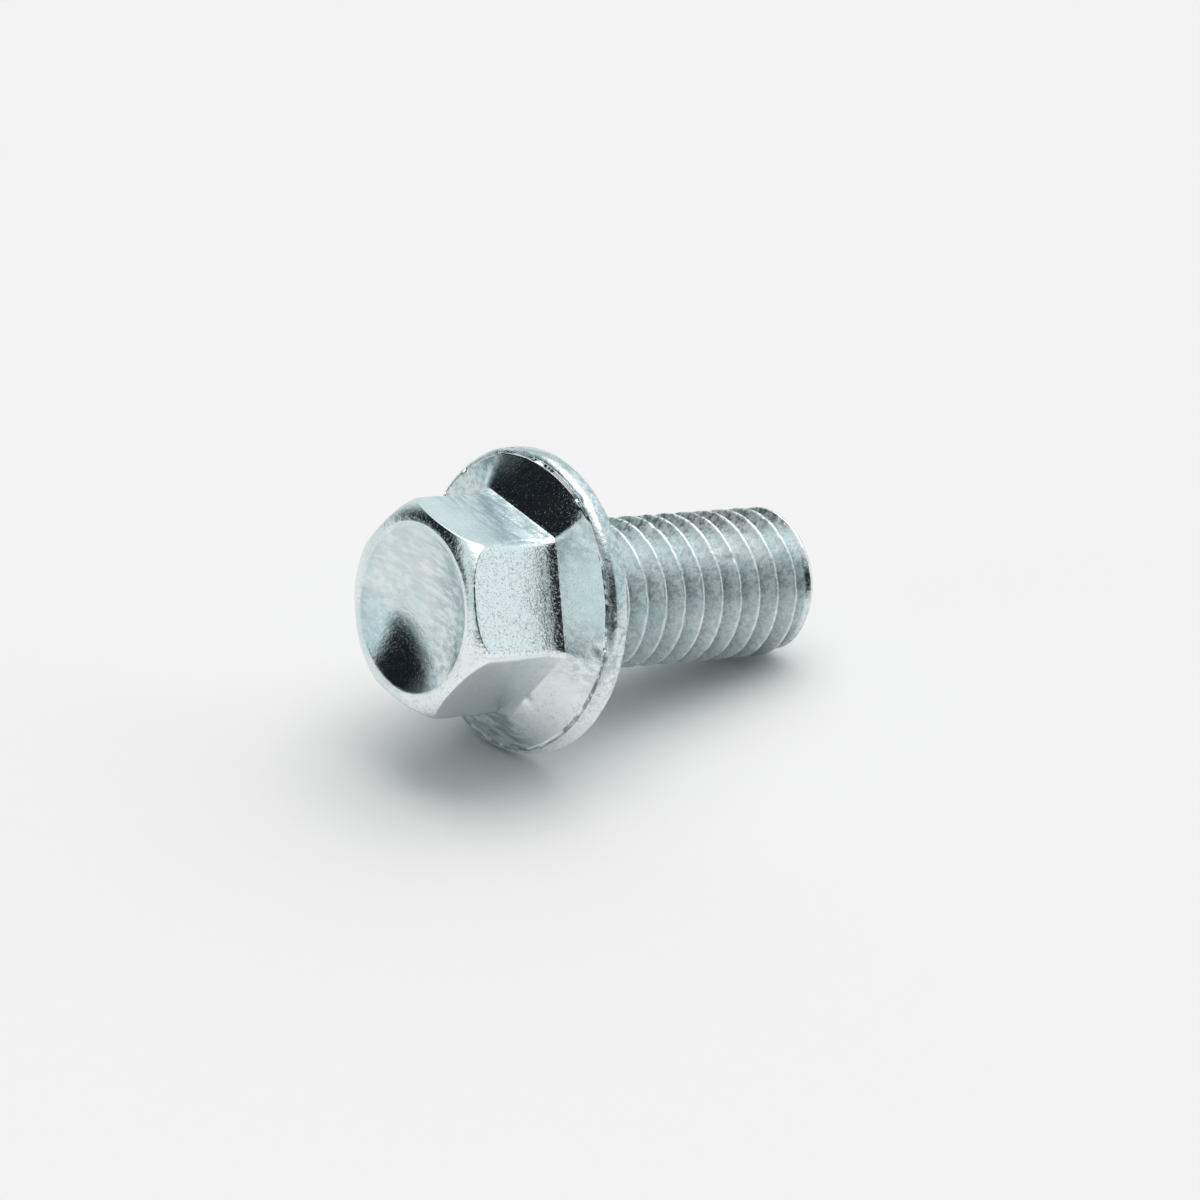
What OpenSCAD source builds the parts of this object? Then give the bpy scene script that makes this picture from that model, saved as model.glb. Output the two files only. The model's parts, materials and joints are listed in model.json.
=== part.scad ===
// Hexagon flange bolt with a dished head, lying on the rim of its flange and the tip of its thread.
// Sizes are in millimetres. The bolt is drawn about its own axis and then laid down:
// X runs along the bolt from head to tip, Z points up, and the floor is Z = 0.

/* [Thread] */

// Outer width of the thread, over its crests
thread_d = 7.76; // [7.5:0.02:8]
// Length from the bearing face to the end of the tip
shank_length = 16.4; // [12:0.1:40]
// Length of the sloped start of the thread
tip_length = 1.15; // [0.6:0.05:1.5]
// Width of the flat end of the tip
tip_d = 5.8; // [4.8:0.1:6.4]
// Radius of the rounding between the shank and the bearing face
neck_round = 0.4; // [0.2:0.05:0.6]

/* [Hexagon] */

// Width across the flats
across_flats = 9.8; // [9.5:0.05:10]
// Width over the corners, which are rounded
across_corners = 11.12; // [11:0.02:11.2]
// Height of the whole head above the bearing face
head_height = 7.7; // [7:0.1:9]
// Width of the crown, where the slope over the corners starts
crown_d = 8.9; // [8.8:0.05:9.3]
// Slope of the crown over the corners, from level
crown_slope = 33; // [25:1:38]
// Height above the bearing face where the facets start to curve out to the flange
root_height = 3.05; // [2.95:0.05:3.2]
// Radius of the curve at the foot of the facets
root_round = 1; // [0.9:0.05:1.1]
// Radius of the curve at the foot of the corners
corner_round = 0.75; // [0.6:0.05:0.9]
// Turn of the hexagon about the axis, as the bolt lies
hexagon_turn = 55; // [0:1:59]

/* [Dish] */

// Width of the dish in the crown
dish_d = 8.5; // [8:0.05:8.6]
// Width of the sloped border of the dish
border_width = 0.5; // [0.3:0.05:0.8]
// Depth of the sloped border
border_depth = 0.3; // [0.15:0.05:0.4]
// Depth of the dish at its middle
dish_depth = 0.55; // [0.45:0.05:0.8]

/* [Flange] */

// Width of the flange
flange_d = 15.6; // [15.4:0.1:16.2]
// Height of the rim of the flange, up to its sloped top
rim_height = 1.5; // [1.4:0.05:1.6]
// Radius of both edges of the rim
rim_round = 0.3; // [0.15:0.05:0.4]
// Slope of the top of the flange, from level
flange_slope = 23; // [21:1:25]

/* [Hidden] */

$fn = 96;

// room that cutting shapes have beyond the faces they cut
spare = 1;
zinc = [0.78, 0.81, 0.83];

thread_r = thread_d / 2;
tip_r = tip_d / 2;
flat_r = across_flats / 2;
corner_r = across_corners / 2;
crown_r = crown_d / 2;
dish_r = dish_d / 2;
flange_r = flange_d / 2;

// middle of the rounding at the upper edge of the rim, and where the sloped top leaves it
rim_middle_r = flange_r - rim_round;
rim_upper_z = rim_height - rim_round;
slope_foot_r = rim_middle_r + rim_round * sin(flange_slope);
slope_foot_z = rim_upper_z + rim_round * cos(flange_slope);
// the sloped top runs on into the hexagon
slope_top_r = flat_r - spare;
slope_top_z = slope_foot_z + (slope_foot_r - slope_top_r) * tan(flange_slope);

// foot of the corners: their curve runs a little way into the sloped top of the flange
root_sink = 0.04;
corner_foot_r = corner_r + corner_round;
corner_foot_z = slope_foot_z + (slope_foot_r - corner_foot_r) * tan(flange_slope)
    + corner_round / cos(flange_slope) - root_sink;
crown_drop = (corner_r - crown_r) * tan(crown_slope);

// ball that shapes the floor of the dish
floor_r = dish_r - border_width;
floor_drop = dish_depth - border_depth;
ball_r = (floor_r * floor_r + floor_drop * floor_drop) / (2 * floor_drop);

// angle of the axis when the rim and the last full turn of the thread touch the floor
touch_length = shank_length - tip_length + rim_round;
touch_step = flange_r - thread_r - rim_round;
lie_angle = atan2(touch_step, touch_length)
    + asin(rim_round / sqrt(touch_length * touch_length + touch_step * touch_step));
lift = rim_middle_r * cos(lie_angle) - rim_round * sin(lie_angle) + rim_round;
head_reach = head_height * cos(lie_angle) + crown_r * sin(lie_angle);
tip_reach = shank_length * cos(lie_angle) + tip_r * sin(lie_angle);

module shank() {
    full_length = shank_length - tip_length;
    translate([0, 0, -full_length])
        cylinder(r = thread_r, h = full_length + spare);
    translate([0, 0, -shank_length])
        cylinder(r1 = tip_r, r2 = thread_r, h = tip_length);
    neck();
}

module neck() {
    translate([0, 0, -neck_round])
        difference() {
            cylinder(r = thread_r + neck_round, h = neck_round + spare / 2);
            rotate_extrude()
                translate([thread_r + neck_round, 0])
                    circle(r = neck_round);
        }
}

module flange() {
    cylinder(r = rim_middle_r, h = slope_foot_z);
    translate([0, 0, rim_round])
        cylinder(r = flange_r, h = rim_upper_z - rim_round);
    rim_edge(rim_round);
    rim_edge(rim_upper_z);
    translate([0, 0, slope_foot_z])
        cylinder(r1 = slope_foot_r, r2 = slope_top_r, h = slope_top_z - slope_foot_z);
}

module rim_edge(level) {
    rotate_extrude()
        translate([rim_middle_r, level])
            circle(r = rim_round);
}

module hexagon() {
    intersection() {
        corner_wall();
        facet_pair(0);
        facet_pair(60);
        facet_pair(120);
    }
}

// turned shape that rounds the corners, slopes the crown and curves out to the flange
module corner_wall() {
    top_z = head_height - crown_drop;
    translate([0, 0, rim_upper_z])
        cylinder(r = corner_r, h = top_z - rim_upper_z);
    translate([0, 0, top_z])
        cylinder(r1 = corner_r, r2 = crown_r, h = crown_drop);
    difference() {
        translate([0, 0, rim_upper_z])
            cylinder(r = corner_foot_r - corner_round * sin(flange_slope), h = corner_foot_z - rim_upper_z);
        rotate_extrude()
            translate([corner_foot_r, corner_foot_z])
                circle(r = corner_round);
    }
}

// two facing facets, each with a curved foot
module facet_pair(turn) {
    middle_r = flat_r + root_round;
    foot_r = middle_r - root_round * sin(flange_slope);
    rotate([90, 0, turn])
        linear_extrude(height = 2 * flange_r, center = true)
            union() {
                translate([-flat_r, 0])
                    square([2 * flat_r, head_height + spare]);
                difference() {
                    translate([-foot_r, 0])
                        square([2 * foot_r, root_height]);
                    translate([middle_r, root_height])
                        circle(r = root_round);
                    translate([-middle_r, root_height])
                        circle(r = root_round);
                }
            }
}

module dish() {
    border_z = head_height - border_depth;
    translate([0, 0, border_z])
        cylinder(r1 = floor_r, r2 = dish_r + border_width, h = 2 * border_depth);
    intersection() {
        translate([0, 0, border_z + ball_r - floor_drop])
            sphere(r = ball_r);
        translate([0, 0, border_z - floor_drop - spare])
            cylinder(r = floor_r, h = floor_drop + spare);
    }
}

module bolt() {
    color(zinc)
        translate([(head_reach - tip_reach) / 2, 0, lift])
            rotate([0, lie_angle - 90, 0])
                difference() {
                    union() {
                        shank();
                        flange();
                        rotate([0, 0, hexagon_turn])
                            hexagon();
                    }
                    dish();
                }
}

bolt();
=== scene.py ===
"""Looks of a short zinc-plated hexagon flange bolt that lies on a white floor."""

import json
import math
import random

import bmesh
import bpy
import numpy as np
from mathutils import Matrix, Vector


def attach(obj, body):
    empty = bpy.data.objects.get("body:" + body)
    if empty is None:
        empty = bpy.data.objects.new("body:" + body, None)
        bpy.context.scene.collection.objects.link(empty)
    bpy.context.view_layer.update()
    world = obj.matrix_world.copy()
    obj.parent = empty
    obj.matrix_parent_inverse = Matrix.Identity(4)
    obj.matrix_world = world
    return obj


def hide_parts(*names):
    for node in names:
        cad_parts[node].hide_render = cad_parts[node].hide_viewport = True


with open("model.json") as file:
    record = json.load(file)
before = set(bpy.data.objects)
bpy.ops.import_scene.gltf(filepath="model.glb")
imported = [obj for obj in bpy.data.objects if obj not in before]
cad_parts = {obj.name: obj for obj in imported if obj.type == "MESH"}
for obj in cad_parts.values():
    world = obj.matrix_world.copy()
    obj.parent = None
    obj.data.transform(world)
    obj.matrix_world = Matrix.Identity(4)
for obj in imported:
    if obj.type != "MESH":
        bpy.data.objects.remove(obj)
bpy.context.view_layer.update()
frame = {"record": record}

MM = 0.001

# sizes of the head in millimetres; heights are measured from the bearing face
HEAD_HEIGHT = 7.7
DISH_R = 4.25
DISH_DEPTH = 1.0
DISH_EDGE_ROUND = 0.1
CROWN_R = 4.45
CROWN_EDGE_ROUND = 0.12
CROWN_ROUND = 1.46
CROWN_TILT = math.radians(10)
FLAT_R = 4.9
CORNER_R = 5.58
FACET_TURN = math.radians(4.9)
HALF_FACET = math.radians(30)
FACET_FOOT = 3.1
FOOT_HEIGHT = 2.25
FOOT_OUT = 0.2
FOOT_ROUND = 0.05
# rounding between the crown and the sides, which grows over the last part of a facet towards its corner
SHOULDER_ROUND = 0.1
SHOULDER_GROWTH = 0.6
SHOULDER_FROM = 0.6

# sizes of the flange
FLANGE_R = 7.8
RIM_EDGE_Z = 1.06
RIM_TOP_ROUND = 0.45
RIM_LOW_ROUND = 0.3

# sizes of the shank
NECK_ROUND = 0.4
NECK_R = 3.6
THREAD_R = 3.88
THREAD_DEPTH = 0.767
PITCH = 1.25
# flanks of the thread, as shares of the pitch from the middle of a crest, and the blur of their edges
FLANK_FROM, FLANK_TO = 1 / 16, 5 / 12
FLANK_BLUR = 0.03
# distance from the bearing face to a crest at the top of the lying bolt
CREST_AT = 4.183
# stretch below the bearing face over which the thread grows to its full depth
FADE_FROM, FADE_TO = 1.2, 2.4
SHANK_LENGTH = 16.4
TIP_LENGTH = 1.15
TIP_R = 2.9
# how far the sloped start of the thread bulges out beyond a straight cone, and its blend into the thread
TIP_BULGE = 0.19
TIP_BLEND = 0.04

# gentle waves in all faces
WAVE_COUNT = 14
WAVE_DEPTH = 0.006
WAVE_SPREAD = 6
WAVE_LENGTHS = (0.9, 3.5)
WAVE_STARTS = (0, 6)
WAVE_SEED = 5
# waves and dents fade out towards the axis within this radius
STILL_R = 0.8
# small dents along the edges: their number, and the ranges of their sizes and depths
DENT_SEED = 11
DENT_SIZES = (0.15, 0.4)
RIM_DENTS, THREAD_DENTS, CORNER_DENTS = 90, 110, 40
RIM_DENT_DEPTHS, THREAD_DENT_DEPTHS, CORNER_DENT_DEPTHS = (0.015, 0.05), (0.02, 0.06), (0.015, 0.04)
# radius and height of the edges of the rim that have dents
RIM_DENT_PLACES = [(7.62, 1.14), (7.76, 0.95), (7.72, 0.08)]
CORNER_DENT_HEIGHTS = (3, 6.7)
FIRST_CREST, LAST_CREST = -1, 9
# knocks on the lower side of the flange: angle in degrees, radius and height
KNOCKS = [(135.5, 5.3, 2.15), (157, 5.8, 2.2), (118.5, 7.55, 1.15), (87.5, 7.35, 1.25)]
KNOCK_SIZE, KNOCK_DEPTH = 0.4, 0.07

# fineness of the mesh
COLUMNS_PER_FACET = 44
CORNER_CROWDING = 0.4
DISH_ROWS, CROWN_STEPS, FOOT_STEPS = 22, 8, 10
TIP_RINGS = 4
WELD_GAP = 0.0005
# places of the rows over one pitch of the thread, from crest to crest
HALF_PITCH = [0.0, 0.045, 0.075, 0.11, 0.25, 0.38, 0.415, 0.45]
ROW_PLACES = HALF_PITCH + [0.5] + [1 - q for q in HALF_PITCH[:0:-1]]

# how coarse the grain and how dull the plating is on each kind of face
GRAIN = {
    "dish": 0.22, "crown": 0.7, "side": 0.4, "foot": 0.6, "flange": 0.32, "rim": 0.9, "thread": 0.7,
}
DULL = {
    "dish": 0.12, "crown": 0.15, "side": 0.13, "foot": 0.13, "flange": 0.13, "rim": 0.26, "thread": 0.46,
}
FRONT_GRAIN, LOW_GRAIN, LOW_DULL, TIP_SHINE = 0.8, 0.4, 0.2, 0.24
# strength of the painted highlight on the lower facet
LOWER_PAINTED_HIGHLIGHT = 0.9
# painted dark reflection in the dish: over all of it, extra towards the front, and the radius over which
# the extra grows
DISH_DARK_REFLECTION, DISH_FRONT_DARK_REFLECTION, DISH_DARK_REFLECTION_R = 0.4, 0.9, 3
# heights between which the painted dark reflection on the top facet grows towards its foot
TOP_DARK_REFLECTION_FROM, TOP_DARK_REFLECTION_FULL = 6.5, 4.0
MOTTLE, TOP_MOTTLE, FRONT_MOTTLE = 0.2, 0.6, 0.2
# how far before the tip its own finish starts, and over which length it grows
TIP_FINISH_LEAD, TIP_FINISH_SOFT = 0.1, 0.2
# softness in degrees of a facet's own finish along its edges
FACET_SOFT = 1
# sectors round the axis in degrees: middle, half width and softness; 0 is up and 90 to the front
LOW_SIDE = (150, 45, 25)
# sector of the flange and rim that gets the painted highlight
PAINTED_HIGHLIGHT_SIDE = (128, 38, 25)
# sector of the dish that gets extra painted dark reflection
DISH_FRONT = (75, 35, 50)
# sector at the front of the tip that gets the painted highlight
TIP_FRONT = (30, 30, 20)
THREAD_TOP = (-12, 15, 20)
THREAD_FRONT = (62, 8, 14)
# painted dark reflections on the flange and its rim: kind of face, sector and strength
PAINTED_DARK_REFLECTIONS = [
    ("flange", (-60, 35, 20), 1.0),
    ("flange", (172, 15, 15), 1.0),
    ("flange", (38, 8, 12), 0.6),
    ("flange", (92, 8, 12), 0.6),
    ("rim", (35, 55, 25), 0.9),
]

# colours of the plating, including those of the painted highlight, painted dark reflection and painted
# shade in the grooves, and height of its grain in millimetres
TEAL, PALE = (0.68, 0.79, 0.805, 1), (0.81, 0.86, 0.87, 1)
PAINTED_HIGHLIGHT_COLOUR = (0.9, 0.95, 0.96, 1)
PAINTED_DARK_REFLECTION_COLOUR = (0.36, 0.46, 0.49, 1)
GROOVE_SHADE_COLOUR = (0.42, 0.5, 0.52, 1)
MOTTLE_COLOUR = (0.07, 0.095, 0.105, 1)
MARK_COLOUR = (0.2, 0.24, 0.25, 1)
GRAIN_HEIGHT = 0.02
# share of the distance to the front that counts in the streaks, which draws them out that way
STREAK_SHARE = 0.22

# camera
CAMERA_AT = (-191.257 * MM, -250.021 * MM, 175.599 * MM)
CAMERA_TURN = math.radians(37.465)
CAMERA_DIP = math.radians(28.293)
FOCAL_MM = 210.0
SENSOR_MM = 36.0
CLIP_START, CLIP_END = 0.01, 20
FORWARD = Vector((math.sin(CAMERA_TURN), math.cos(CAMERA_TURN), 0))
RIGHT = Vector((math.cos(CAMERA_TURN), -math.sin(CAMERA_TURN), 0))

# light
SIDE_LIGHT = (0.77, 0.865, 0.875, 1)
TOP_LIGHT = (0.85, 0.89, 0.895, 1)
KEY_LIGHT = (3.07, 2.93, 2.88, 1)
DARK_LIGHT = (0.01, 0.012, 0.015, 1)
# heights in degrees between which the side light turns into the top light
ROOM_HEIGHTS = (25, 65)
# the key light stands high behind the bolt, a little to the right
KEY_HEIGHT = math.radians(74)
KEY_WAY = (FORWARD * 0.85 + RIGHT * 0.5).normalized() * math.cos(KEY_HEIGHT)
KEY_WAY.z = math.sin(KEY_HEIGHT)
# angles in degrees from its middle at which the key light ends and is full
KEY_END, KEY_FULL = 38, 14
# dark parts of the room, as azimuth from behind the camera and height in degrees:
# each goes from none to full and back from full to none
DARK_LEFT = ((-160, -108, -78, -70), (-3, 9, 44, 56))
DARK_BEHIND = ((-62, -18, 60, 74), (-10, -8, 36, 54))
FLOOR_COLOUR = (0.805, 0.805, 0.805, 1)
FLOOR_ROUGHNESS = 0.6
FLOOR_HALF = 3.0


def unit(v):
    """Vectors of length 1."""
    return v / np.maximum(np.linalg.norm(v, axis=-1, keepdims=True), 1e-12)


def column_angles():
    """Angles of the columns round the axis and from the middle of their facet, closer at the corners."""
    t = np.linspace(-1, 1, COLUMNS_PER_FACET + 1)[:-1]
    within = HALF_FACET * ((1 + CORNER_CROWDING) * t - CORNER_CROWDING * t**3)
    turns = FACET_TURN + 2 * HALF_FACET * np.arange(6)
    return (turns[:, None] + within[None, :]).ravel(), np.tile(within, 6)


ANGLES, OFF_FACET = column_angles()
COLUMNS = len(ANGLES)


def at(radius, height):
    """One row of the mesh: radius and height for every column."""
    row = np.empty((COLUMNS, 2))
    row[:, 0], row[:, 1] = radius, height
    return row


def soft_corner(before, corner, after, radius, steps):
    """Rows of an arc that rounds a corner of the profile."""
    back, on = unit(before - corner), unit(after - corner)
    half = np.arccos(np.clip((back * on).sum(-1, keepdims=True), -1, 1)) / 2
    reach = radius / np.tan(half)
    start, end, weight = corner + back * reach, corner + on * reach, np.sin(half)
    rows = []
    for t in np.linspace(0, 1, steps):
        a, b, c = (1 - t) ** 2, 2 * t * (1 - t) * weight, t**2
        rows.append((a * start + b * corner + c * end) / (a + b + c))
    return rows


def between(first, last, steps):
    """Rows strictly between two rows, evenly spaced."""
    return [first + (last - first) * k / (steps + 1) for k in range(1, steps + 1)]


def hexagon_radius(facet_out, corner_out):
    """Distance from the axis to the side of the hexagon, with facets and corners standing out."""
    flat, corner = FLAT_R + facet_out, CORNER_R + corner_out
    cos_half, tan_half = math.cos(HALF_FACET), math.tan(HALF_FACET)
    rounding = (flat / cos_half - corner) / (1 / cos_half - 1)
    turn = np.abs(OFF_FACET)
    centre_r = (flat - rounding) / cos_half
    along = centre_r * np.cos(HALF_FACET - turn)
    in_corner = along + np.sqrt(np.maximum(along**2 - centre_r**2 + rounding**2, 0))
    return np.where(flat * np.tan(turn) < (flat - rounding) * tan_half, flat / np.cos(turn), in_corner)


def foot_out(height):
    """How far the curved foot of a facet stands out at a height below its start."""
    whole = FACET_FOOT - FOOT_HEIGHT
    radius = (whole**2 + FOOT_OUT**2) / (2 * FOOT_OUT)
    drop = min(max(FACET_FOOT - height, 0), whole)
    return radius - math.sqrt(radius**2 - drop**2)


def side_row(height):
    """Row on the sides of the hexagon or on their curved feet."""
    out = foot_out(height)
    return at(hexagon_radius(out, out / math.cos(HALF_FACET)), height)


def crown_row(radius):
    """Row on the rounded crown, which falls ever more steeply towards the corners."""
    middle_r = CROWN_R - CROWN_ROUND * math.sin(CROWN_TILT)
    middle_z = HEAD_HEIGHT - CROWN_ROUND * math.cos(CROWN_TILT)
    return at(radius, middle_z + np.sqrt(CROWN_ROUND**2 - (radius - middle_r) ** 2))


def dish_row(radius):
    """Row in the dish, which is part of a ball."""
    ball_r = (DISH_R**2 + DISH_DEPTH**2) / (2 * DISH_DEPTH)
    return at(radius, HEAD_HEIGHT - DISH_DEPTH + ball_r - math.sqrt(ball_r**2 - radius**2))


def head_rows():
    """Rows of the head from the middle of the dish to the neck, in groups named by the kind of face."""
    dish = [dish_row(r) for r in np.linspace(0, DISH_R - DISH_EDGE_ROUND, DISH_ROWS)]
    dish_edge, crown_edge = at(DISH_R, HEAD_HEIGHT), at(CROWN_R, HEAD_HEIGHT)
    crown_width = hexagon_radius(0, 0) - CROWN_R
    crown = [crown_row(CROWN_R + crown_width * k / CROWN_STEPS) for k in range(CROWN_STEPS + 1)]
    shoulder = crown[-1]
    corner_share = np.clip((np.abs(OFF_FACET) / HALF_FACET - SHOULDER_FROM) / (1 - SHOULDER_FROM), 0, 1)
    shoulder_round = SHOULDER_ROUND + SHOULDER_GROWTH * corner_share[:, None] ** 2
    foot_start, foot = side_row(FACET_FOOT), side_row(FOOT_HEIGHT)
    foot_drop = FOOT_HEIGHT - FACET_FOOT
    curve = [side_row(FACET_FOOT + foot_drop * k / FOOT_STEPS) for k in range(FOOT_STEPS)]
    rim_top, rim_low = at(FLANGE_R, RIM_EDGE_Z), at(FLANGE_R, 0)
    neck, neck_end = at(NECK_R, 0), at(NECK_R, -FADE_FROM)
    return [
        ("dish", dish),
        ("crown", soft_corner(dish[-1], dish_edge, crown_edge, DISH_EDGE_ROUND, steps=4)),
        ("crown", soft_corner(dish_edge, crown_edge, crown[1], CROWN_EDGE_ROUND, steps=4) + crown[2:-2]),
        ("side", soft_corner(crown[-2], shoulder, foot_start, shoulder_round, steps=6)),
        ("side", between(shoulder, foot_start, steps=9)),
        ("foot", curve + soft_corner(curve[-1], foot, rim_top, FOOT_ROUND, steps=4)),
        ("flange", between(foot, rim_top, steps=10)),
        ("rim", soft_corner(foot, rim_top, rim_low, RIM_TOP_ROUND, steps=9)),
        ("rim", between(rim_top, rim_low, steps=1)),
        ("rim", soft_corner(rim_top, rim_low, neck, RIM_LOW_ROUND, steps=7)),
        ("thread", between(rim_low, neck, steps=6)),
        ("thread", soft_corner(rim_low, neck, neck_end, NECK_ROUND, steps=5) + [neck_end]),
    ]


def thread_drop(place):
    """Depth below the crest at a place within one pitch, from 0 at the crest to 1 at the root."""
    off = np.abs((place + 0.5) % 1 - 0.5)
    blur = np.linspace(-FLANK_BLUR, FLANK_BLUR, 7)
    ramp = (off + blur - FLANK_FROM) / (FLANK_TO - FLANK_FROM)
    return float(np.clip(ramp, 0, 1).mean())


def thread_rows():
    """Rows of the thread, which climb one pitch per turn, and how deep each vertex lies in the groove."""
    climb = (ANGLES - ANGLES[0]) / (2 * math.pi)
    base = CREST_AT + PITCH * ANGLES[0] / (2 * math.pi)
    first = math.floor((FADE_FROM - base) / PITCH) - 1
    last = math.ceil((SHANK_LENGTH - base) / PITCH)
    rows, depths = [], []
    for turn in range(first, last + 1):
        for place in ROW_PLACES:
            s = np.clip(base + PITCH * (turn + place + climb), FADE_FROM, SHANK_LENGTH)
            drop = thread_drop(place)
            grown = np.clip((s - FADE_FROM) / (FADE_TO - FADE_FROM), 0, 1)
            grown = grown**2 * (3 - 2 * grown)
            full = THREAD_R - THREAD_DEPTH * drop
            r = NECK_R + grown * (full - NECK_R)
            along_tip = (s - SHANK_LENGTH + TIP_LENGTH) / TIP_LENGTH
            bulge = TIP_BULGE * np.sin(math.pi * np.clip(along_tip, 0, 1))
            cone = THREAD_R - along_tip * (THREAD_R - TIP_R) + bulge
            near_cone = np.clip((TIP_BLEND - np.abs(r - cone)) / TIP_BLEND, 0, 1)
            blended = np.minimum(r, cone) - near_cone**2 * TIP_BLEND / 4
            rows.append(at(np.where(s >= SHANK_LENGTH, TIP_R, blended), -s))
            depths.append(drop * grown)
    return rows, depths


def bolt_axes():
    """Middle of the bearing face, the way to the tip, and two ways across the axis: up and to the front."""
    mounts = {m["name"]: m for m in frame["record"]["mounts"]}
    way = Vector(mounts["thread"]["axis"]).normalized()
    on_axis = Vector(mounts["thread"]["pos_m"])
    face = Vector(mounts["bearing_face"]["pos_m"])
    middle = on_axis + way * (face - on_axis).dot(way)
    front = Vector((0, -1, 0))
    return middle, way, front.cross(way), front


MIDDLE, WAY, UP, FRONT = bolt_axes()


def spot(angle, radius, height):
    """Points in the frame, in metres, for an angle round the axis, a radius and a height."""
    middle, way, up, front = (np.array(v) for v in (MIDDLE, WAY, UP, FRONT))
    angle, radius, height = (np.asarray(v, float)[..., None] for v in (angle, radius, height))
    out = np.cos(angle) * up + np.sin(angle) * front
    return middle + MM * (radius * out - height * way)


def edge_dents():
    """Small dents along the rim, the crests of the thread and the corners: middle, size and depth."""
    dice = random.Random(DENT_SEED)

    def dent(middle, depths):
        return middle, dice.uniform(*DENT_SIZES), dice.uniform(*depths)

    dents = []
    for _ in range(RIM_DENTS):
        angle = dice.uniform(0, 2 * math.pi)
        radius, height = dice.choice(RIM_DENT_PLACES)
        dents.append(dent(spot(angle, radius, height), RIM_DENT_DEPTHS))
    for _ in range(THREAD_DENTS):
        angle = dice.uniform(0, 2 * math.pi)
        s = CREST_AT + PITCH * (dice.randint(FIRST_CREST, LAST_CREST) + angle / (2 * math.pi))
        dents.append(dent(spot(angle, THREAD_R, -s), THREAD_DENT_DEPTHS))
    for _ in range(CORNER_DENTS):
        angle = FACET_TURN + HALF_FACET * (1 + 2 * dice.randint(0, 5))
        height = dice.uniform(*CORNER_DENT_HEIGHTS)
        dents.append(dent(spot(angle, CORNER_R, height), CORNER_DENT_DEPTHS))
    for degrees, radius, height in KNOCKS:
        dents.append((spot(math.radians(degrees), radius, height), KNOCK_SIZE, KNOCK_DEPTH))
    return dents


def wear(points, rows):
    """Presses gentle waves and the dents into the surface, inwards only."""
    normals = unit(np.cross(np.gradient(points, axis=1), np.gradient(points, axis=0)))
    dice = random.Random(WAVE_SEED)
    waves = np.zeros(points.shape[:2])
    for _ in range(WAVE_COUNT):
        way = np.array([dice.gauss(0, 1) for _ in range(3)])
        length = dice.uniform(*WAVE_LENGTHS) * MM
        start = dice.uniform(*WAVE_STARTS)
        waves += np.sin(points @ unit(way) * 2 * math.pi / length + start)
    inwards = WAVE_DEPTH * MM * np.maximum(1 + waves / WAVE_SPREAD, 0)
    for middle, size, depth in edge_dents():
        off = np.linalg.norm(points - middle, axis=-1) / (size * MM)
        inwards += depth * MM * np.clip(1 - off**2, 0, 1) ** 2
    # the axis and the rows where the ends of the thread are joined on stay where they are
    radii, heights = rows[..., 0], rows[..., 1]
    inwards *= np.clip(radii / STILL_R, 0, 1)
    inwards[np.isclose(heights, -FADE_FROM) | np.isclose(heights, -SHANK_LENGTH)] = 0
    return points - normals * inwards[..., None]


def ring_faces(first_row, last_row, seam_shift):
    """Quads between neighbouring rows. A thread's seam joins a row to the one a pitch further on."""
    faces = []
    for row in range(first_row, last_row):
        for col in range(COLUMNS - 1):
            a = row * COLUMNS + col
            faces.append((a, a + COLUMNS, a + COLUMNS + 1, a + 1))
        if row + 1 + seam_shift <= last_row:
            a, b = row * COLUMNS + COLUMNS - 1, (row + seam_shift) * COLUMNS
            faces.append((a, a + COLUMNS, b + COLUMNS, b))
    return faces


def near_angle(degrees, half_width, soft):
    """1 for columns within a half width of an angle round the axis, falling softly to 0."""
    off = np.abs((np.degrees(ANGLES) - degrees + 180) % 360 - 180)
    return np.clip((half_width + soft - off) / soft, 0, 1)


def on_facet(number):
    """1 for columns on one facet, counted from the top one towards the front."""
    middle = math.degrees(FACET_TURN + 2 * HALF_FACET * number)
    return near_angle(middle, math.degrees(HALF_FACET) - FACET_SOFT, FACET_SOFT)


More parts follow.
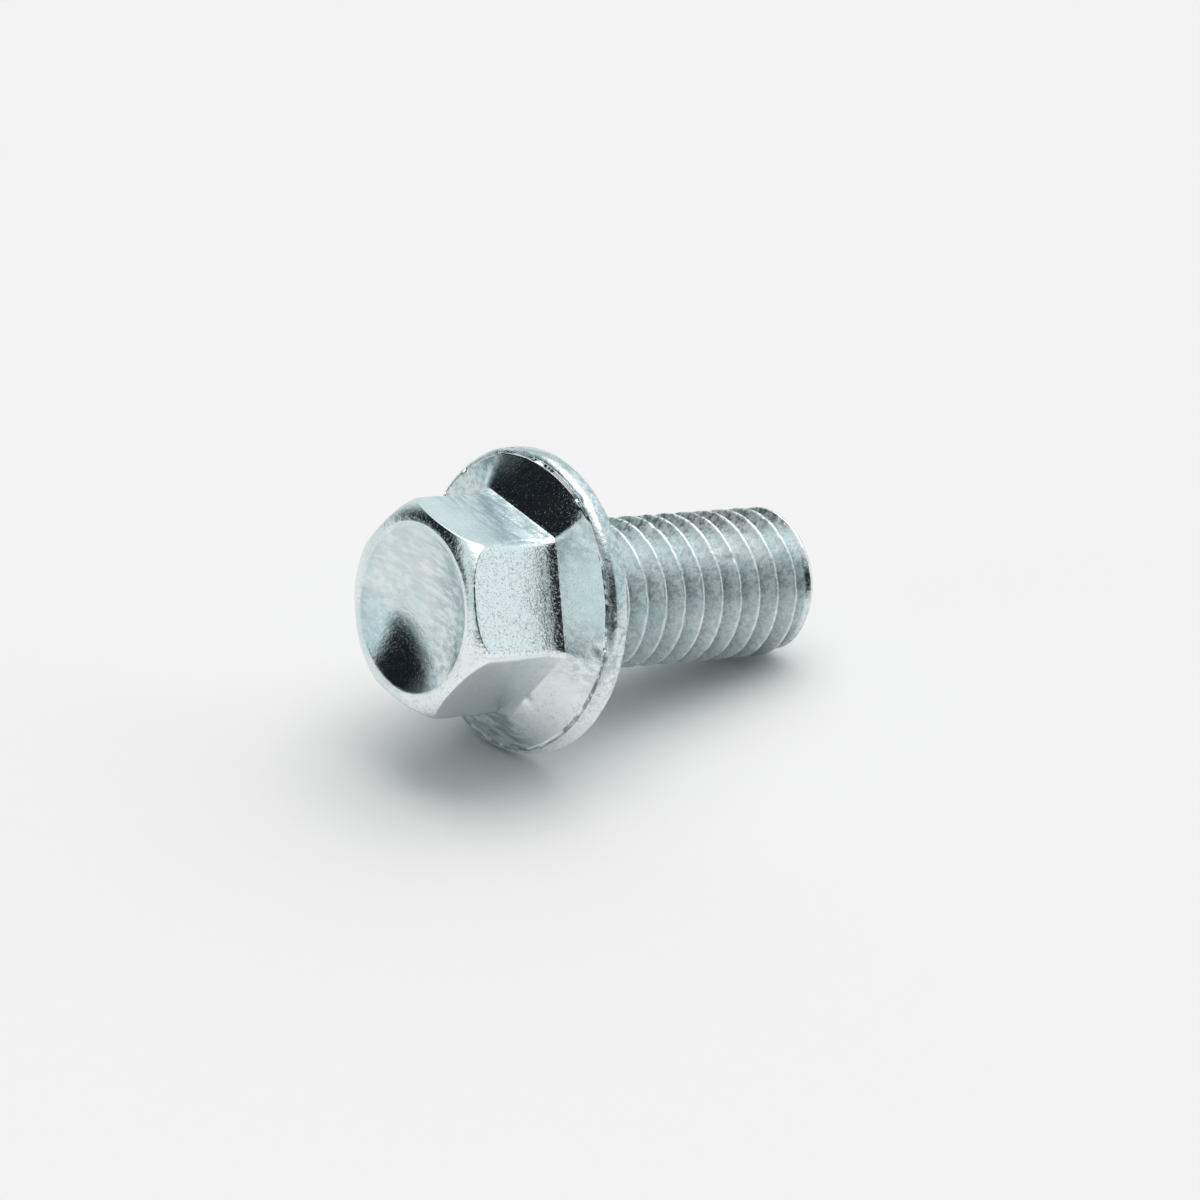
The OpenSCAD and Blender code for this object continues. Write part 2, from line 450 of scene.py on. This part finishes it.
def face_shares(kinds, radii, heights):
    """How grainy, dull and mottled each vertex is, and how much painted dark reflection and painted
    highlight it gets.
    """
    grain = np.array([GRAIN[k] for k in kinds])[:, None] * np.ones(COLUMNS)
    dull = np.array([DULL[k] for k in kinds])[:, None] * np.ones(COLUMNS)
    kinds = np.array(kinds)
    facets = np.isin(kinds, ("side", "foot"))
    outer = np.isin(kinds, ("crown", "flange", "rim"))
    top_facet, front_facet, lower_facet = on_facet(0), on_facet(1), on_facet(2)
    low = near_angle(*LOW_SIDE)
    tip = np.clip((TIP_LENGTH + TIP_FINISH_LEAD - SHANK_LENGTH - heights) / TIP_FINISH_SOFT, 0, 1)
    grain[facets] += FRONT_GRAIN * front_facet
    grain[outer] += LOW_GRAIN * low
    dull[outer] += LOW_DULL * low
    dull -= TIP_SHINE * tip

    # painted dark reflections: towards the foot of the top facet, in the dish and in sectors of the flange
    # and rim
    towards_foot = np.clip((TOP_DARK_REFLECTION_FROM - heights) / (TOP_DARK_REFLECTION_FROM - TOP_DARK_REFLECTION_FULL), 0, 1)
    painted_dark_reflection = facets[:, None] * top_facet * towards_foot
    dish_front = near_angle(*DISH_FRONT) * np.clip(radii / DISH_DARK_REFLECTION_R, 0, 1)
    painted_dark_reflection += (kinds == "dish")[:, None] * np.minimum(DISH_DARK_REFLECTION + DISH_FRONT_DARK_REFLECTION * dish_front, 1)
    for kind, sector, strength in PAINTED_DARK_REFLECTIONS:
        painted_dark_reflection += (kinds == kind)[:, None] * strength * near_angle(*sector)

    # painted highlight: the front and lower facets, a lower sector of the flange and rim and the front of
    # the tip are paled where they reflect bright light
    bright = facets[:, None] * (front_facet + LOWER_PAINTED_HIGHLIGHT * lower_facet)
    bright += outer[:, None] * near_angle(*PAINTED_HIGHLIGHT_SIDE) + tip * near_angle(*TIP_FRONT)
    on_thread = (heights < -NECK_ROUND) & (radii > TIP_R)
    sectors = TOP_MOTTLE * near_angle(*THREAD_TOP) + FRONT_MOTTLE * near_angle(*THREAD_FRONT)
    mottle = on_thread * (MOTTLE + sectors)
    return {"grain": grain, "dull": dull, "painted_dark_reflection": painted_dark_reflection, "bright": bright, "mottle": mottle}


def build_bolt():
    """The whole bolt as one closed mesh, with the shares of its finish stored at its vertices."""
    groups = head_rows()
    head = [row for _, rows in groups for row in rows]
    thread, depths = thread_rows()
    tip = [at(TIP_R * k / TIP_RINGS, -SHANK_LENGTH) for k in reversed(range(TIP_RINGS))]
    rows = np.array(head + thread + tip)
    radii, heights = rows[..., 0], rows[..., 1]
    kinds = [kind for kind, group in groups for _ in group] + ["thread"] * (len(thread) + len(tip))
    thread_from, thread_to = len(head), len(head) + len(thread) - 1
    points = wear(spot(ANGLES, radii, heights), rows)
    faces = ring_faces(0, thread_from, 0)
    faces += ring_faces(thread_from, thread_to, len(ROW_PLACES))
    faces += ring_faces(thread_to, len(rows) - 1, 0)

    mesh = bpy.data.meshes.new("bolt_looks")
    mesh.from_pydata(points.reshape(-1, 3).tolist(), [], faces)
    shares = face_shares(kinds, radii, heights)
    shares["groove"] = np.zeros(rows.shape[:2])
    shares["groove"][thread_from : thread_to + 1] = depths
    for name, values in shares.items():
        mesh.attributes.new(name, "FLOAT", "POINT").data.foreach_set("value", values.ravel())
    weld(mesh)
    mesh.shade_smooth()
    piece = bpy.data.objects.new("bolt_looks", mesh)
    bpy.context.scene.collection.objects.link(piece)
    return piece


def weld(mesh):
    """Joins the vertices that lie on one another, drops flat faces and turns the faces outwards."""
    bm = bmesh.new()
    bm.from_mesh(mesh)
    bmesh.ops.remove_doubles(bm, verts=bm.verts, dist=WELD_GAP * MM)
    bmesh.ops.dissolve_degenerate(bm, edges=bm.edges, dist=WELD_GAP * MM)
    bmesh.ops.recalc_face_normals(bm, faces=bm.faces)
    bm.to_mesh(mesh)
    bm.free()


class Tree:
    """Short ways to add and join shader nodes."""

    def __init__(self, tree):
        self.tree = tree
        tree.nodes.clear()

    def add(self, kind, **settings):
        node = self.tree.nodes.new(kind)
        for name, value in settings.items():
            setattr(node, name, value)
        return node

    def feed(self, socket, value):
        if isinstance(value, bpy.types.NodeSocket):
            self.tree.links.new(value, socket)
        else:
            socket.default_value = value

    def math(self, operation, a, b=0.0):
        node = self.add("ShaderNodeMath", operation=operation)
        self.feed(node.inputs[0], a)
        self.feed(node.inputs[1], b)
        return node.outputs[0]

    def times(self, a, b):
        return self.math("MULTIPLY", a, b)

    def dot(self, a, b):
        node = self.add("ShaderNodeVectorMath", operation="DOT_PRODUCT")
        self.feed(node.inputs[0], a)
        self.feed(node.inputs[1], b)
        return node.outputs["Value"]

    def vector(self, x, y, z):
        node = self.add("ShaderNodeCombineXYZ")
        for socket, value in zip(node.inputs, (x, y, z)):
            self.feed(socket, value)
        return node.outputs[0]

    def ramp(self, value, low, high, out_low=0.0, out_high=1.0):
        """Smooth step of a value from low to high."""
        node = self.add("ShaderNodeMapRange", interpolation_type="SMOOTHSTEP")
        self.feed(node.inputs["Value"], value)
        self.feed(node.inputs["From Min"], low)
        self.feed(node.inputs["From Max"], high)
        self.feed(node.inputs["To Min"], out_low)
        self.feed(node.inputs["To Max"], out_high)
        return node.outputs["Result"]

    def mix(self, factor, a, b):
        node = self.add("ShaderNodeMix", data_type="RGBA")
        self.feed(node.inputs["Factor"], factor)
        self.feed(node.inputs["A"], a)
        self.feed(node.inputs["B"], b)
        return node.outputs["Result"]

    def noise(self, where, size_mm, detail, rough=0.5):
        node = self.add("ShaderNodeTexNoise")
        self.feed(node.inputs["Vector"], where)
        self.feed(node.inputs["Scale"], 1 / (size_mm * MM))
        self.feed(node.inputs["Detail"], detail)
        self.feed(node.inputs["Roughness"], rough)
        return node.outputs["Fac"]

    def share(self, name):
        return self.add("ShaderNodeAttribute", attribute_name=name).outputs["Fac"]


def zinc_material():
    """Clouded zinc plating with painted highlights, painted dark reflections, painted shade in the grooves,
    dark mottling, fine creases and pits.
    """
    material = bpy.data.materials.new("zinc")
    material.use_nodes = True
    t = Tree(material.node_tree)
    where = t.add("ShaderNodeTexCoord").outputs["Object"]
    up, front, along = t.dot(where, UP), t.dot(where, FRONT), t.dot(where, WAY)
    streaked = t.vector(up, t.times(front, STREAK_SHARE), along)
    grain_share = t.share("grain")

    patches = t.noise(where, size_mm=2.4, detail=3)
    cloud = t.noise(where, size_mm=0.6, detail=3, rough=0.6)
    grain = t.noise(where, size_mm=0.17, detail=3, rough=0.6)
    specks = t.noise(where, size_mm=0.1, detail=1)
    streaks = t.noise(streaked, size_mm=0.3, detail=3, rough=0.6)
    blotches = t.noise(where, size_mm=0.34, detail=5, rough=0.78)
    wrinkles = t.noise(where, size_mm=0.42, detail=3, rough=0.6)

    clouded = t.math("ADD", patches, t.times(cloud, 0.5))
    colour = t.mix(t.ramp(clouded, 0.58, 0.92), TEAL, PALE)
    # painted highlight: paled towards near-white where the share is set
    colour = t.mix(t.share("bright"), colour, PAINTED_HIGHLIGHT_COLOUR)
    # painted dark reflection, broken into streaks
    painted_dark_reflection = t.times(t.share("painted_dark_reflection"), t.ramp(streaks, 0.38, 0.62, 0.15, 0.85))
    colour = t.mix(painted_dark_reflection, colour, PAINTED_DARK_REFLECTION_COLOUR)
    # painted shade: darker towards the roots of the thread's grooves, speckled by the grain
    groove_shade = t.times(t.ramp(t.share("groove"), 0.3, 1.0), t.ramp(grain, 0.3, 0.7, 0.2, 0.7))
    colour = t.mix(groove_shade, colour, GROOVE_SHADE_COLOUR)
    mottle = t.times(t.share("mottle"), t.ramp(blotches, 0.45, 0.6, 0.0, 0.95))
    colour = t.mix(mottle, colour, MOTTLE_COLOUR)
    pits = t.ramp(specks, 0.63, 0.70)
    off_middle = t.math("ABSOLUTE", t.math("SUBTRACT", wrinkles, 0.5))
    creases = t.times(t.ramp(off_middle, 0.0, 0.025, 1.0, 0.0), t.ramp(cloud, 0.45, 0.6))
    marks = t.math("MAXIMUM", creases, t.times(pits, 0.6))
    colour = t.mix(t.times(marks, t.times(grain_share, 0.5)), colour, MARK_COLOUR)
    roughness = t.math("ADD", t.share("dull"), t.ramp(grain, 0.25, 0.75, -0.03, 0.05))

    relief = t.math("ADD", grain, t.times(wrinkles, 1.3))
    bump = t.add("ShaderNodeBump")
    t.feed(bump.inputs["Strength"], 1.0)
    t.feed(bump.inputs["Distance"], t.times(grain_share, GRAIN_HEIGHT * MM))
    t.feed(bump.inputs["Height"], t.math("SUBTRACT", relief, t.times(pits, 0.3)))

    shader = t.add("ShaderNodeBsdfPrincipled")
    t.feed(shader.inputs["Base Color"], colour)
    t.feed(shader.inputs["Metallic"], 1.0)
    t.feed(shader.inputs["Roughness"], roughness)
    t.feed(shader.inputs["Normal"], bump.outputs["Normal"])
    out = t.add("ShaderNodeOutputMaterial")
    t.feed(out.inputs["Surface"], shader.outputs["BSDF"])
    return material


def floor_material():
    """Plain matt white."""
    material = bpy.data.materials.new("white_floor")
    material.use_nodes = True
    t = Tree(material.node_tree)
    shader = t.add("ShaderNodeBsdfPrincipled")
    t.feed(shader.inputs["Base Color"], FLOOR_COLOUR)
    t.feed(shader.inputs["Roughness"], FLOOR_ROUGHNESS)
    t.feed(shader.inputs["Specular IOR Level"], 0.0)
    out = t.add("ShaderNodeOutputMaterial")
    t.feed(out.inputs["Surface"], shader.outputs["BSDF"])
    return material


def build_floor():
    """A large flat floor under the bolt."""
    mesh = bpy.data.meshes.new("floor")
    h = FLOOR_HALF
    mesh.from_pydata([(-h, -h, 0), (h, -h, 0), (h, h, 0), (-h, h, 0)], [], [(0, 1, 2, 3)])
    mesh.materials.append(floor_material())
    floor = bpy.data.objects.new("floor", mesh)
    bpy.context.scene.collection.objects.link(floor)


def build_light():
    """A bright room with a soft key light, and dark parts on the left and behind the camera."""
    world = bpy.data.worlds.new("studio")
    bpy.context.scene.world = world
    world.use_nodes = True
    t = Tree(world.node_tree)
    way = t.add("ShaderNodeTexCoord").outputs["Generated"]
    split = t.add("ShaderNodeSeparateXYZ")
    t.feed(split.inputs[0], way)
    azimuth = t.math("ARCTAN2", t.dot(way, RIGHT), t.dot(way, -FORWARD))
    height = t.math("ARCSINE", split.outputs["Z"])

    def window(value, limits):
        soft_from, full_from, full_to, soft_to = (math.radians(limit) for limit in limits)
        return t.times(t.ramp(value, soft_from, full_from), t.ramp(value, full_to, soft_to, 1.0, 0.0))

    def dark_part(azimuths, heights):
        return t.times(window(azimuth, azimuths), window(height, heights))

    dark = t.math("MAXIMUM", dark_part(*DARK_LEFT), dark_part(*DARK_BEHIND))
    side_end, top_start = (math.radians(limit) for limit in ROOM_HEIGHTS)
    room = t.mix(t.ramp(height, side_end, top_start), SIDE_LIGHT, TOP_LIGHT)
    key_end, key_full = (math.cos(math.radians(limit)) for limit in (KEY_END, KEY_FULL))
    lit = t.mix(t.ramp(t.dot(way, KEY_WAY), key_end, key_full), room, KEY_LIGHT)
    back = t.add("ShaderNodeBackground")
    t.feed(back.inputs["Color"], t.mix(dark, lit, DARK_LIGHT))
    t.feed(back.inputs["Strength"], 1.0)
    out = t.add("ShaderNodeOutputWorld")
    t.feed(out.inputs["Surface"], back.outputs["Background"])


def build_camera():
    """The camera at the angle of the photograph."""
    data = bpy.data.cameras.new("camera")
    data.sensor_width, data.lens = SENSOR_MM, FOCAL_MM
    data.clip_start, data.clip_end = CLIP_START, CLIP_END
    camera = bpy.data.objects.new("camera", data)
    camera.location = CAMERA_AT
    look = FORWARD * math.cos(CAMERA_DIP) - Vector((0, 0, math.sin(CAMERA_DIP)))
    camera.rotation_mode = "QUATERNION"
    camera.rotation_quaternion = look.to_track_quat("-Z", "Y")
    bpy.context.scene.collection.objects.link(camera)
    bpy.context.scene.camera = camera


bolt = build_bolt()
bolt.data.materials.append(zinc_material())
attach(bolt, "root")
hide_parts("bolt")
build_floor()
build_light()
build_camera()
bpy.context.scene.view_settings.view_transform = "Standard"
